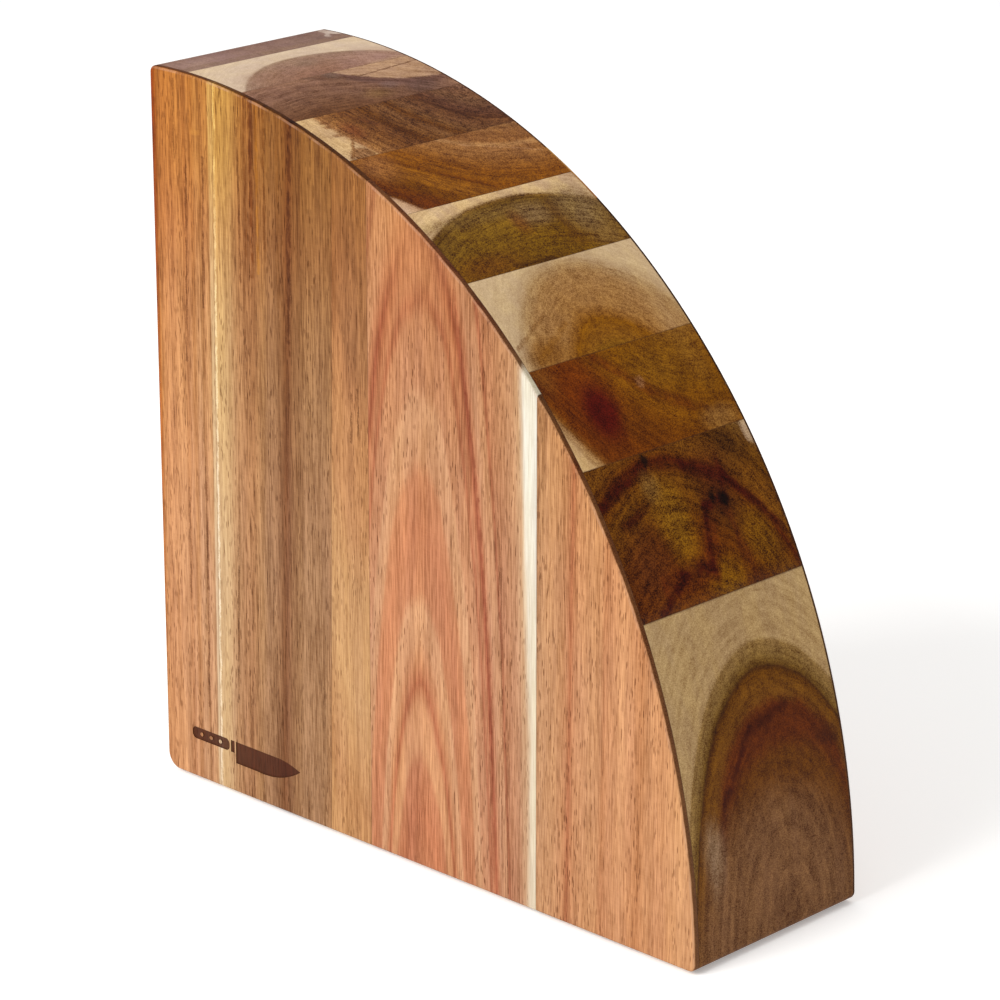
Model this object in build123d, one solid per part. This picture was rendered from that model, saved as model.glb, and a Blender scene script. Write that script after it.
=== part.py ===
"""Quarter-round magnetic knife block in edge-glued acacia, standing on four low feet.

Millimetres. +Z is up, X runs along the large faces from the square corner (-X) to the toe of the
curve (+X), and Y is the block's thickness, with the marked front face at -Y. The origin is under the
middle of the block's box, on the surface that it stands on.

The block comes apart as a core of ten upright staves, a thin edge-glued skin of five staves on each
large face (the back one is sanded thinner), three rows of magnets with a steel keeper strip behind
each row on both sides of the core, and four round feet let into the core's underside. The curved rim
is sawn across the core and both skins together, so it shows the staves' end grain.
"""

import os
from math import sqrt

from build123d import *

# Block
WIDTH = 260.0
HEIGHT = 265.0
THICKNESS = 83.5
CURVE_CENTRE_X = 7.5  # from the square corner
CURVE_CENTRE_Z = -5.0  # from the underside
SQUARE_CORNER_R = 6.0
CREST_CORNER_R = 2.5
TOE_CORNER_R = 3.0
EASED_EDGE_R = 1.0

# Feet
FOOT_R = 6.0
FOOT_HEIGHT = 2.2
FOOT_STANDS_PROUD = 1.2
FOOT_EDGE_R = 0.5
FOOT_SEAT_CLEARANCE = 0.15
FOOT_X = (31.6, 244.0)  # from the square corner
FOOT_Y = 28.0

# Staves: each joint's distance from the square corner
CORE_JOINTS = (18.0, 45.3, 72.0, 98.3, 125.8, 153.8, 181.8, 206.3, 233.5)
SKIN_THICKNESS = {"front": 2.2, "back": 1.4}
# A skin's joint leans a little: (at the underside, at the crest)
FRONT_SKIN_JOINTS = ((28.9, 32.2), (87.3, 92.0), (107.9, 108.4), (187.8, 187.6))
BACK_SKIN_JOINTS = ((46.0, 44.5), (113.8, 113.4), (137.4, 137.9), (196.0, 195.0))

# Magnets, in rows that run along X: (height above the underside, distance of the slot's far end, magnets)
ROWS = {"low": (52.0, 232.0, 5), "middle": (122.0, 204.0, 4), "high": (192.0, 150.0, 3)}
SLOT_START = 24.0
SLOT_HEIGHT = 16.4
KEEPER_THICKNESS = 1.8
KEEPER_HEIGHT = 15.8
MAGNET_LENGTH = 30.0
MAGNET_HEIGHT = 15.0
MAGNET_THICKNESS = 5.0
MAGNET_PITCH = 38.0
MAGNET_EDGE_R = 0.4
SLOT_CLEARANCE = 0.2  # between the magnets and the skin

# Burnt-in mark of a plain chef's knife, low in the square corner of the front face
MARK_X = 14.0
MARK_Z = 17.5
MARK_DEPTH = 0.35
HANDLE_LENGTH = 20.0
HANDLE_HEIGHT = 4.6
BOLSTER_LENGTH = 2.0
BOLSTER_GAP = 0.7
BLADE_LENGTH = 34.0
BLADE_DEPTH = 8.4
RIVET_R = 0.75

# Worked out
LEFT = -WIDTH / 2
BASE = FOOT_STANDS_PROUD
HALF = THICKNESS / 2
SLOT_DEPTH = KEEPER_THICKNESS + MAGNET_THICKNESS + SLOT_CLEARANCE
BEYOND = 50.0  # how far a cutting shape runs past the block
SIDES = {"front": -1, "back": 1}  # which way each large face looks along Y


def upright(x, z):
    """A point of the XZ plane, from distances along the block and above its underside."""
    return Vector(LEFT + x, 0, BASE + z)


def curve_height(x):
    """Height of the curved rim above the underside at distance x from the square corner."""
    reach_x = WIDTH - CURVE_CENTRE_X
    reach_z = HEIGHT - CURVE_CENTRE_Z
    return CURVE_CENTRE_Z + reach_z * sqrt(1 - ((x - CURVE_CENTRE_X) / reach_x) ** 2)


def curve_reach(z):
    """Distance of the curved rim from the square corner at height z above the underside."""
    reach_x = WIDTH - CURVE_CENTRE_X
    reach_z = HEIGHT - CURVE_CENTRE_Z
    return CURVE_CENTRE_X + reach_x * sqrt(1 - ((z - CURVE_CENTRE_Z) / reach_z) ** 2)


def below_core_face(side, depth):
    """Y at a depth below the face of the core that one skin is glued to."""
    return SIDES[side] * (HALF - SKIN_THICKNESS[side] - depth)


def make_block():
    """The whole quarter-round block as one solid, before it is divided into staves."""
    reach_x = WIDTH - CURVE_CENTRE_X
    reach_z = HEIGHT - CURVE_CENTRE_Z
    oval = Pos(CURVE_CENTRE_X, CURVE_CENTRE_Z) * Ellipse(reach_x, reach_z)
    square = Pos(WIDTH, HEIGHT) * Rectangle(2 * WIDTH, 2 * HEIGHT)
    outline = oval & square
    corners = {
        (0.0, 0.0): SQUARE_CORNER_R,
        (0.0, curve_height(0.0)): CREST_CORNER_R,
        (curve_reach(0.0), 0.0): TOE_CORNER_R,
    }
    for (x, z), radius in corners.items():
        corner = outline.vertices().sort_by_distance((x, z, 0))[0]
        outline = fillet(corner, radius)
    plate = extrude(outline, THICKNESS)
    rims = plate.faces().filter_by(Axis.Z).edges()
    plate = fillet(rims, EASED_EDGE_R)
    standing = Plane(origin=(LEFT, HALF, BASE), x_dir=(1, 0, 0), z_dir=(0, -1, 0))
    return standing * plate


def slab(low_y, high_y):
    """A box across the whole block between two planes of constant Y."""
    size = (WIDTH + 2 * BEYOND, high_y - low_y, HEIGHT + 2 * BEYOND)
    return Pos(0, (low_y + high_y) / 2, BASE + HEIGHT / 2) * Box(*size)


def stave_cutter(start, end):
    """An upright slice between two joints, each (distance at the underside, distance at the crest)."""

    def at(joint, z):
        foot, crest = joint
        return foot + (crest - foot) * z / HEIGHT

    low, high = -BEYOND, HEIGHT + BEYOND
    corners = [
        upright(at(start, low), low),
        upright(at(end, low), low),
        upright(at(end, high), high),
        upright(at(start, high), high),
    ]
    face = make_face(Polyline(*corners, close=True))
    return extrude(face, THICKNESS, dir=(0, 1, 0), both=True)


def staves(layer, joints):
    """The layer's staves, from the square corner to the toe."""
    straight = [j if isinstance(j, tuple) else (j, j) for j in joints]
    bounds = [(-BEYOND, -BEYOND), *straight, (WIDTH + BEYOND, WIDTH + BEYOND)]
    return [layer & stave_cutter(a, b) for a, b in zip(bounds, bounds[1:])]


def slot(side, row):
    """The round-ended slot that holds one row of magnets, cut from the core's face inwards."""
    height, end, _ = ROWS[row]
    length = end - SLOT_START
    outline = SlotOverall(length, SLOT_HEIGHT)
    floor = Plane(
        origin=(LEFT + SLOT_START + length / 2, below_core_face(side, SLOT_DEPTH), BASE + height),
        x_dir=(1, 0, 0),
        z_dir=(0, SIDES[side], 0),
    )
    return extrude(floor * outline, SLOT_DEPTH + SKIN_THICKNESS[side] / 2)


def row_span(row):
    """(middle of the row from the square corner, its length from the first magnet's end to the last's)."""
    _, end, count = ROWS[row]
    return (SLOT_START + end) / 2, (count - 1) * MAGNET_PITCH + MAGNET_LENGTH


def keeper(side, row):
    """The steel strip on the slot's floor, behind the row's magnets."""
    middle, span = row_span(row)
    y = below_core_face(side, SLOT_DEPTH - KEEPER_THICKNESS / 2)
    return Pos(LEFT + middle, y, BASE + ROWS[row][0]) * Box(span, KEEPER_THICKNESS, KEEPER_HEIGHT)


def magnets(side, row):
    """The row's block magnets, which lie on the keeper."""
    middle, span = row_span(row)
    block = Box(MAGNET_LENGTH, MAGNET_THICKNESS, MAGNET_HEIGHT)
    block = fillet(block.edges().filter_by(Axis.Y), MAGNET_EDGE_R)
    y = below_core_face(side, SLOT_DEPTH - KEEPER_THICKNESS - MAGNET_THICKNESS / 2)
    first = middle - span / 2 + MAGNET_LENGTH / 2
    places = [first + n * MAGNET_PITCH for n in range(ROWS[row][2])]
    return [Pos(LEFT + x, y, BASE + ROWS[row][0]) * block for x in places]


def foot_places():
    """The four feet's (x, y)."""
    return [(LEFT + x, y) for x in FOOT_X for y in (-FOOT_Y, FOOT_Y)]


def foot():
    """A round foot with eased edges, standing on the origin's plane."""
    disc = Pos(0, 0, FOOT_HEIGHT / 2) * Cylinder(FOOT_R, FOOT_HEIGHT)
    tread = disc.edges().filter_by(GeomType.CIRCLE).sort_by(Axis.Z)[0]
    return fillet(tread, FOOT_EDGE_R)


def foot_seat():
    """The shallow round recess that a foot is glued into."""
    depth = FOOT_HEIGHT - FOOT_STANDS_PROUD
    lowest = BASE - BEYOND
    return Pos(0, 0, (lowest + BASE + depth) / 2) * Cylinder(
        FOOT_R + FOOT_SEAT_CLEARANCE, BASE + depth - lowest
    )


def knife_mark():
    """The shape burnt into the front face: a chef's knife lying level, its handle to the left."""
    handle = Pos(HANDLE_LENGTH / 2, 0) * RectangleRounded(HANDLE_LENGTH, HANDLE_HEIGHT, HANDLE_HEIGHT / 2.4)
    for share in (0.25, 0.5, 0.75):
        handle -= Pos(HANDLE_LENGTH * share, 0) * Circle(RIVET_R)
    bolster_x = HANDLE_LENGTH + BOLSTER_GAP + BOLSTER_LENGTH / 2
    bolster = Pos(bolster_x, 0) * Rectangle(BOLSTER_LENGTH, HANDLE_HEIGHT)
    heel = HANDLE_LENGTH + BOLSTER_LENGTH + 2 * BOLSTER_GAP
    spine = HANDLE_HEIGHT / 2
    tip = (heel + BLADE_LENGTH, spine - BLADE_DEPTH * 0.28)
    back = Line((heel, spine), (heel + BLADE_LENGTH * 0.6, spine))
    point = ThreePointArc(
        back @ 1, (heel + BLADE_LENGTH * 0.82, spine - BLADE_DEPTH * 0.07), tip
    )
    belly_start = (heel + BLADE_LENGTH * 0.35, spine - BLADE_DEPTH)
    belly = ThreePointArc(tip, (heel + BLADE_LENGTH * 0.75, spine - BLADE_DEPTH * 0.8), belly_start)
    edge = Line(belly_start, (heel, spine - BLADE_DEPTH))
    back_of_heel = Line(edge @ 1, back @ 0)
    blade = make_face([back, point, belly, edge, back_of_heel])
    outline = handle + bolster + blade
    face_plane = Plane(
        origin=(LEFT + MARK_X, -HALF + MARK_DEPTH, BASE + MARK_Z),
        x_dir=(1, 0, 0),
        z_dir=(0, -1, 0),
    )
    return extrude(face_plane * outline, 2 * MARK_DEPTH)


def build():
    """Every piece of the block as {node name: solid}."""
    block = make_block()
    pieces = {}

    front_of_core = below_core_face("front", 0)
    back_of_core = below_core_face("back", 0)
    core = block & slab(front_of_core, back_of_core)
    for side in SIDES:
        for row in ROWS:
            core -= slot(side, row)
    for x, y in foot_places():
        core -= Pos(x, y, 0) * foot_seat()
    for number, stave in enumerate(staves(core, CORE_JOINTS), 1):
        pieces[f"core_stave_{number:02d}"] = stave

    front = (block & slab(-HALF - BEYOND, front_of_core)) - knife_mark()
    back = block & slab(back_of_core, HALF + BEYOND)
    for number, stave in enumerate(staves(front, FRONT_SKIN_JOINTS), 1):
        pieces[f"front_skin_stave_{number}"] = stave
    for number, stave in enumerate(staves(back, BACK_SKIN_JOINTS), 1):
        pieces[f"back_skin_stave_{number}"] = stave

    for side in SIDES:
        for row in ROWS:
            pieces[f"{side}_keeper_{row}"] = keeper(side, row)
            for number, magnet in enumerate(magnets(side, row), 1):
                pieces[f"{side}_magnet_{row}_{number}"] = magnet

    for number, (x, y) in enumerate(foot_places(), 1):
        pieces[f"foot_{number}"] = Pos(x, y, 0) * foot()
    return pieces


os.makedirs("parts", exist_ok=True)
for name, piece in build().items():
    export_step(piece, f"parts/{name}.step")
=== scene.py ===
"""Quarter-round magnetic knife block in oiled acacia, on a pale studio floor.

Every length in a wood's description is in millimetres, measured as a maker would on the block itself: across
from the square corner, back from the middle of its thickness, and up from its underside.
"""

from math import radians

import bmesh
import bpy
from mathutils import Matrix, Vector


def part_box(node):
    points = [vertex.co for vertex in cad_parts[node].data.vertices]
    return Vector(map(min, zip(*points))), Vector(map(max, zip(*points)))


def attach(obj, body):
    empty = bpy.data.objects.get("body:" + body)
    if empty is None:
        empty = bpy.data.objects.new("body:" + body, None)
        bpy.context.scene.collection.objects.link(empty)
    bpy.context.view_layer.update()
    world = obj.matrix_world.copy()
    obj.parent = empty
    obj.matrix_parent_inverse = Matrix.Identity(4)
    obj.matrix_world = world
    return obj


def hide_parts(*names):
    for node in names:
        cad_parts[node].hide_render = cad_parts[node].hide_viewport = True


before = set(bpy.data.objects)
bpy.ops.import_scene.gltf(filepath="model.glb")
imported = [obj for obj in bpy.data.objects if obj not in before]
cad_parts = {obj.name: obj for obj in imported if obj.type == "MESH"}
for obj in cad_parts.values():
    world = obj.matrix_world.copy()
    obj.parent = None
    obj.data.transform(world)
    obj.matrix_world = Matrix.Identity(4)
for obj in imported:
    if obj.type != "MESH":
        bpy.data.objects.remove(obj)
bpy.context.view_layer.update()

MM = 0.001
NOWHERE = (0.0, 0.0, 0.0)

# The block's own measures, from its CAD pieces
CORE_LOW, CORE_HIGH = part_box("core_stave_01")
CORNER = (CORE_LOW.x, 0.0, CORE_LOW.z)
BLOCK_HEIGHT = (CORE_HIGH.z - CORE_LOW.z) / MM
CORE_FRONT = CORE_LOW.y / MM
CORE_BACK = CORE_HIGH.y / MM
HALF_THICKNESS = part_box("back_skin_stave_1")[1].y / MM

# How far across the core's joints are
CORE_JOINTS = (0.0, 18.0, 45.3, 72.0, 98.3, 125.8, 153.8, 181.8, 206.3, 233.5, 262.0)

# The skins' joints, (at the foot, at the crest), after the number that their patterns' seeds count on from
SKINS = dict(
    front=(10.0, ((0.0, 0.0), (28.9, 32.2), (87.3, 92.0), (107.9, 108.4), (187.8, 187.6), (262.0, 262.0))),
    back=(20.0, ((0.0, 0.0), (46.0, 44.5), (113.8, 113.4), (137.4, 137.9), (196.0, 195.0), (262.0, 262.0))),
)

# The curved rim: the middle and the reach of its ellipse, across and up
CURVE_CENTRE = (7.5, -5.0)
CURVE_REACH = (252.5, 270.0)

# The burnt mark's place on the near face, from and to
MARK_ACROSS = (10.0, 80.0)
MARK_UP = (6.0, 27.0)

# Layers of texture: features per millimetre across, back and up; fineness; strength
LONG_GRAIN = (
    ((0.3, 0.3, 0.007), 2.0, 0.26),
    ((1.15, 1.15, 0.022), 2.0, 0.34),
    ((2.1, 2.1, 0.09), 2.0, 0.72),
    ((0.25, 0.25, 2.4), 2.0, 0.10),
)
END_STIPPLE = (
    ((0.34, 0.34, 0.2), 2.0, 0.38),
    ((1.3, 0.8, 1.3), 3.0, 0.3),
    ((2.6, 1.8, 2.6), 2.0, 1.0),
)

# What the oil does to a dry tone's red, green and blue
OILED = (0.83 * 0.98, 0.83 * 1.02, 0.83 * 1.06)
MARK_TINT = (0.85, 1.05, 1.25)
DEEPEST_MARK = (0.2, 0.15, 0.1)
GOLDEN = (1.18, 1.17, 1.06)
DUSKY = (0.92, 0.88, 0.94)
IN_A_PORE = (0.36, 0.26, 0.20)
GLUE_TONE = (60, 34, 20)
GLUE_STRENGTH = 0.42
OIL_GLOSS = 0.06

# Relief of the sanded wood, in millimetres
PORE_RELIEF = -0.05
GLUE_RELIEF = -0.03
GRAIN_RELIEF = 0.012
SANDING_RELIEF = 0.006

SKIN_RING_LINES = 0.22
SKIN_MOTTLE = 0.35
SHARP_CORNER = radians(28)

# Camera and studio, in metres, degrees and watts
CAMERA_PLACE = (0.94407, -0.97773, 0.58838)
CAMERA_TURN = 43.98
CAMERA_DROP = 18.807
CAMERA_LENS = 148.75
CAMERA_FILM = 36.0
CAMERA_REACH = 20.0
KEY_SOFTBOX = dict(place=(-0.5, -2.2, 1.5), size=1.6, power=74.4)
TOP_SOFTBOX = dict(place=(0.2, 0.3, 2.4), size=2.0, power=16.8)
LIT_POINT = Vector((0.0, 0.0, 0.13))
SURROUND_GLOW = 0.504
FLOOR_GLOW = 0.26
FLOOR_REACH = 6.0


# ---------------------------------------------------------------- wiring

class Graph:
    """A node tree being wired. Each call adds one node and hands back what it puts out."""

    def __init__(self, tree):
        self.tree = tree

    def node(self, kind, **settings):
        made = self.tree.nodes.new(kind)
        for name, value in settings.items():
            setattr(made, name, value)
        return made

    def feed(self, socket, value):
        if isinstance(value, bpy.types.NodeSocket):
            self.tree.links.new(value, socket)
        elif value is not None:
            socket.default_value = value

    def math(self, operation, a, b=None, c=None, clamp=False):
        made = self.node("ShaderNodeMath", operation=operation, use_clamp=clamp)
        for socket, value in zip(made.inputs, (a, b, c)):
            self.feed(socket, value)
        return made.outputs["Value"]

    def vector(self, operation, a, b=None):
        made = self.node("ShaderNodeVectorMath", operation=operation)
        self.feed(made.inputs[0], a)
        self.feed(made.inputs["Scale"] if operation == "SCALE" else made.inputs[1], b)
        return made.outputs["Value" if operation in ("LENGTH", "DOT_PRODUCT") else "Vector"]

    def parts(self, vector):
        made = self.node("ShaderNodeSeparateXYZ")
        self.feed(made.inputs["Vector"], vector)
        return made.outputs["X"], made.outputs["Y"], made.outputs["Z"]

    def join(self, x, y, z):
        made = self.node("ShaderNodeCombineXYZ")
        for socket, value in zip(made.inputs, (x, y, z)):
            self.feed(socket, value)
        return made.outputs["Vector"]

    def noise(self, place, grain, detail=2.0, rough=0.5, output="Fac"):
        """Noise whose features repeat about `grain` times per millimetre along x, y and z."""
        made = self.node("ShaderNodeTexNoise", noise_dimensions="3D")
        self.feed(made.inputs["Vector"], self.vector("MULTIPLY", place, grain))
        made.inputs["Scale"].default_value = 1.0
        made.inputs["Detail"].default_value = detail
        made.inputs["Roughness"].default_value = rough
        return made.outputs[output]

    def drift(self, place, grain):
        """A wandering shift, at most half a unit either way along x, y and z."""
        return self.vector("SUBTRACT", self.noise(place, grain, output="Color"), (0.5, 0.5, 0.5))

    def lines(self, measure, crowding, seed):
        """Fine lines across a measure, about `crowding` bands of them to the millimetre."""
        made = self.node("ShaderNodeTexNoise", noise_dimensions="1D")
        self.feed(made.inputs["W"], self.math("MULTIPLY_ADD", measure, crowding, seed))
        made.inputs["Scale"].default_value = 1.0
        made.inputs["Detail"].default_value = 4.0
        made.inputs["Roughness"].default_value = 0.68
        return made.outputs["Fac"]

    def cells(self, place, grain):
        """(distance to the nearest cell's heart, a random colour for that cell)"""
        made = self.node("ShaderNodeTexVoronoi", voronoi_dimensions="3D", feature="F1")
        self.feed(made.inputs["Vector"], self.vector("MULTIPLY", place, grain))
        made.inputs["Scale"].default_value = 1.0
        return made.outputs["Distance"], made.outputs["Color"]

    def shifted(self, place, seed, step):
        """A place moved by a piece's own seed, so that no two pieces share a pattern."""
        return self.vector("ADD", place, self.vector("SCALE", step, seed))

    def blend(self, amount, a, b):
        """a where the amount is 0, b where it is 1, for plain numbers."""
        return self.math("MULTIPLY_ADD", self.math("SUBTRACT", b, a), amount, a)

    def ease(self, value, start, end, low=0.0, high=1.0):
        """low at start, high at end, with a soft step between."""
        made = self.node("ShaderNodeMapRange", interpolation_type="SMOOTHSTEP")
        self.feed(made.inputs["Value"], value)
        for name, amount in (("From Min", start), ("From Max", end), ("To Min", low), ("To Max", high)):
            self.feed(made.inputs[name], amount)
        return made.outputs["Result"]

    def mix(self, amount, a, b):
        made = self.node("ShaderNodeMix", data_type="RGBA")
        self.feed(made.inputs["Factor"], amount)
        self.feed(made.inputs[6], a)
        self.feed(made.inputs[7], b)
        return made.outputs[2]

    def tones(self, measure, stops):
        """The tone at each measure, from {measure in millimetres: tone}."""
        reach = sorted(stops)
        low, high = reach[0], reach[-1]
        share = self.math("DIVIDE", self.math("SUBTRACT", measure, low), high - low, clamp=True)
        ramp = self.node("ShaderNodeValToRGB")
        self.feed(ramp.inputs["Fac"], share)
        bar = ramp.color_ramp
        bar.elements[0].position = 0.0
        bar.elements[1].position = 1.0
        for mark in reach[1:-1]:
            bar.elements.new((mark - low) / (high - low))
        for element, mark in zip(bar.elements, reach):
            element.color = tone(*stops[mark])
        return ramp.outputs["Color"]

    def use(self, group, **given):
        made = self.node("ShaderNodeGroup", node_tree=group)
        for name, value in given.items():
            self.feed(made.inputs[name.replace("_", " ").capitalize()], value)
        return made.outputs

    def relief(self, height, depth):
        """Feeds the shader a bump from a height, which is worth `depth` metres where it is 1."""
        bump = self.node("ShaderNodeBump")
        bump.inputs["Distance"].default_value = depth
        self.feed(bump.inputs["Height"], height)
        self.feed(self.shader.inputs["Normal"], bump.outputs["Normal"])


def tone(red, green, blue):
    """A colour written as it looks, 0 to 255 each, as Blender's linear colour."""
    def linear(value):
        share = value / 255
        return share / 12.92 if share <= 0.04045 else ((share + 0.055) / 1.055) ** 2.4
    return linear(red), linear(green), linear(blue), 1.0


def new_group(name, takes, gives):
    """An empty node group with the named sockets: takes is {name: start value}, gives is {name: kind}."""
    tree = bpy.data.node_groups.new(name, "ShaderNodeTree")
    for label, start in takes.items():
        kind = {float: "Float", tuple: "Vector", list: "Color"}[type(start)]
        socket = tree.interface.new_socket(label, in_out="INPUT", socket_type="NodeSocket" + kind)
        socket.default_value = start
    for label, kind in gives.items():
        tree.interface.new_socket(label, in_out="OUTPUT", socket_type="NodeSocket" + kind)
    graph = Graph(tree)
    graph.takes = graph.node("NodeGroupInput").outputs
    graph.gives = graph.node("NodeGroupOutput").inputs
    return graph


# ---------------------------------------------------------------- effects that the woods share

def make_block_place():
    """Where a point is on the block, in millimetres from the square corner's foot."""
    g = new_group("block place", {}, {"Place": "Vector"})
    here = g.node("ShaderNodeTexCoord").outputs["Object"]
    g.feed(g.gives["Place"], g.vector("SCALE", g.vector("SUBTRACT", here, CORNER), 1 / MM))
    return g.tree


def make_growth_rings():
    """Distance from a stave's pith, which leans as it rises, with the fine lines between its rings and the
    streaks that follow them round."""
    g = new_group(
        "growth rings",
        {"Place": NOWHERE, "Pith": NOWHERE, "Lean": NOWHERE, "Wander": 1.0, "Seed": 0.0},
        {"Radius": "Float", "Lines": "Float", "Streaks": "Float"},
    )
    place, seed = g.takes["Place"], g.takes["Seed"]
    start = g.shifted(place, seed, (31.0, 57.0, 113.0))
    slow = g.drift(start, (0.035, 0.035, 0.008))
    quick = g.drift(start, (0.25, 0.25, 0.02))
    frayed = g.drift(start, (1.3, 1.3, 0.09))
    bend = g.vector("ADD", g.vector("SCALE", slow, 3.0), g.vector("SCALE", quick, 0.7))
    height = g.parts(place)[2]
    pith = g.vector("ADD", g.takes["Pith"], g.vector("SCALE", g.takes["Lean"], height))

    def away_from_pith(bend):
        wandered = g.vector("ADD", place, g.vector("SCALE", bend, g.takes["Wander"]))
        return g.vector("MULTIPLY", g.vector("SUBTRACT", wandered, pith), (1.0, 1.0, 0.0))

    clean = away_from_pith(bend)
    across, back, _ = g.parts(clean)
    around = g.math("MULTIPLY", g.math("ARCTAN2", back, across), 60.0)
    unrolled = g.join(g.math("ADD", g.vector("LENGTH", clean), seed), around, height)
    streaks = g.noise(unrolled, (1.1, 0.08, 0.01), detail=3.0, rough=0.62)
    g.feed(g.gives["Streaks"], g.ease(streaks, 0.3, 0.7, 0.2, 0.8))
    radius = g.vector("LENGTH", away_from_pith(g.vector("ADD", bend, g.vector("SCALE", frayed, 0.5))))
    g.feed(g.gives["Radius"], radius)
    g.feed(g.gives["Lines"], g.lines(radius, 0.6, seed))
    return g.tree


def make_straight_grain():
    """How far across a straight-grained stave a point is, following grain that leans and wanders a little."""
    g = new_group(
        "straight grain",
        {"Place": NOWHERE, "Lean": 0.0, "Wander": 1.0, "Seed": 0.0},
        {"Across": "Float", "Lines": "Float"},
    )
    place, seed = g.takes["Place"], g.takes["Seed"]
    start = g.shifted(place, seed, (23.0, 71.0, 97.0))
    slow = g.math("SUBTRACT", g.noise(start, (0.03, 0.03, 0.006)), 0.5)
    quick = g.math("SUBTRACT", g.noise(start, (0.3, 0.3, 0.02)), 0.5)
    bend = g.math("MULTIPLY_ADD", slow, 4.0, quick)
    x, _, z = g.parts(place)
    upright = g.math("SUBTRACT", x, g.math("MULTIPLY", z, g.takes["Lean"]))
    across = g.math("MULTIPLY_ADD", bend, g.takes["Wander"], upright)
    g.feed(g.gives["Across"], across)
    g.feed(g.gives["Lines"], g.lines(across, 0.42, seed))
    return g.tree


def make_grain_marks():
    """Streaks and pore dashes along the grain, or stipple and pore dots where the grain ends."""
    g = new_group(
        "grain marks",
        {"Place": NOWHERE, "Seed": 0.0, "End grain": 0.0},
        {"Shade": "Float", "Pores": "Float", "Mottle": "Float"},
    )
    start = g.shifted(g.takes["Place"], g.takes["Seed"], (17.0, 41.0, 151.0))
    ending = g.takes["End grain"]

    def layered(layers):
        """Layers of crisp noise, each from -0.5 to 0.5, added up by their strengths."""
        total = 0.0
        for grain, detail, strength in layers:
            crisp = g.ease(g.noise(start, grain, detail, 0.6), 0.36, 0.64, -0.5, 0.5)
            total = g.math("MULTIPLY_ADD", crisp, strength, total)
        return total

    def pores(grain, heart, edge, share, some, all_of_them, strength=1.0):
        """Small dark marks at the hearts of some of the cells."""
        distance, colour = g.cells(start, grain)
        chosen = g.ease(g.parts(colour)[share], some, all_of_them)
        return g.math("MULTIPLY", g.ease(distance, edge, heart, 0.0, strength), chosen)

    g.feed(g.gives["Shade"], g.blend(ending, layered(LONG_GRAIN), layered(END_STIPPLE)))
    crowd = g.ease(g.noise(start, (0.16, 0.16, 0.012)), 0.42, 0.62, 0.4, 1.0)
    broken = g.ease(g.noise(start, (0.9, 0.9, 0.2)), 0.42, 0.54)
    short = g.math("MULTIPLY", pores((1.45, 1.45, 0.22), 0.22, 0.38, 0, 0.35, 0.6), crowd)
    long = g.math("MULTIPLY", pores((0.95, 0.95, 0.07), 0.14, 0.26, 1, 0.45, 0.7), broken)
    dots = pores((1.5, 1.1, 1.5), 0.14, 0.28, 0, 0.4, 0.7, strength=0.6)
    g.feed(g.gives["Pores"], g.blend(ending, g.math("MAXIMUM", short, long), dots))
    g.feed(g.gives["Mottle"], g.noise(start, (0.13, 0.13, 0.012), 3.0, 0.6))
    return g.tree


def wavered(g, place):
    """A place moved a little, so that an outline drawn there strays from true and has a frayed edge."""
    slow = g.vector("SCALE", g.drift(place, (0.22, 0.22, 0.05)), 1.6)
    frayed = g.vector("SCALE", g.drift(place, (1.6, 1.6, 0.7)), 1.1)
    return g.vector("ADD", place, g.vector("ADD", slow, frayed))


def make_spot():
    """A soft-edged patch with a wavering outline, on the flat given by the first two parts of its place."""
    g = new_group(
        "spot",
        {"Place": NOWHERE, "Middle": NOWHERE, "Reach": (1.0, 1.0, 1.0), "Soft": 0.3},
        {"Mask": "Float"},
    )
    here = wavered(g, g.takes["Place"])
    away = g.vector("DIVIDE", g.vector("SUBTRACT", here, g.takes["Middle"]), g.takes["Reach"])
    distance = g.vector("LENGTH", g.vector("MULTIPLY", away, (1.0, 1.0, 0.0)))
    outer = g.math("ADD", 1.0, g.takes["Soft"])
    inner = g.math("SUBTRACT", 1.0, g.takes["Soft"])
    g.feed(g.gives["Mask"], g.ease(distance, outer, inner))
    return g.tree


def make_drawn_line():
    """A soft wavering line between two points, on the flat given by the first two parts of its place."""
    g = new_group(
        "drawn line",
        {"Place": NOWHERE, "Start": NOWHERE, "End": NOWHERE, "Width": 1.0, "Unbroken": 0.6},
        {"Mask": "Float"},
    )
    width = g.takes["Width"]
    here = g.vector("MULTIPLY", wavered(g, g.takes["Place"]), (1.0, 1.0, 0.0))
    run = g.vector("SUBTRACT", g.takes["End"], g.takes["Start"])
    past = g.vector("SUBTRACT", here, g.takes["Start"])
    length_squared = g.vector("DOT_PRODUCT", run, run)
    share = g.math("DIVIDE", g.vector("DOT_PRODUCT", past, run), length_squared, clamp=True)
    distance = g.vector("LENGTH", g.vector("SUBTRACT", past, g.vector("SCALE", run, share)))
    patchy = g.ease(g.noise(g.takes["Place"], (0.5, 0.22, 0.1)), 0.36, 0.56, g.takes["Unbroken"], 1.0)
    mask = g.ease(distance, width, g.math("MULTIPLY", width, 0.2))
    g.feed(g.gives["Mask"], g.math("MULTIPLY", mask, patchy))
    return g.tree


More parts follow.
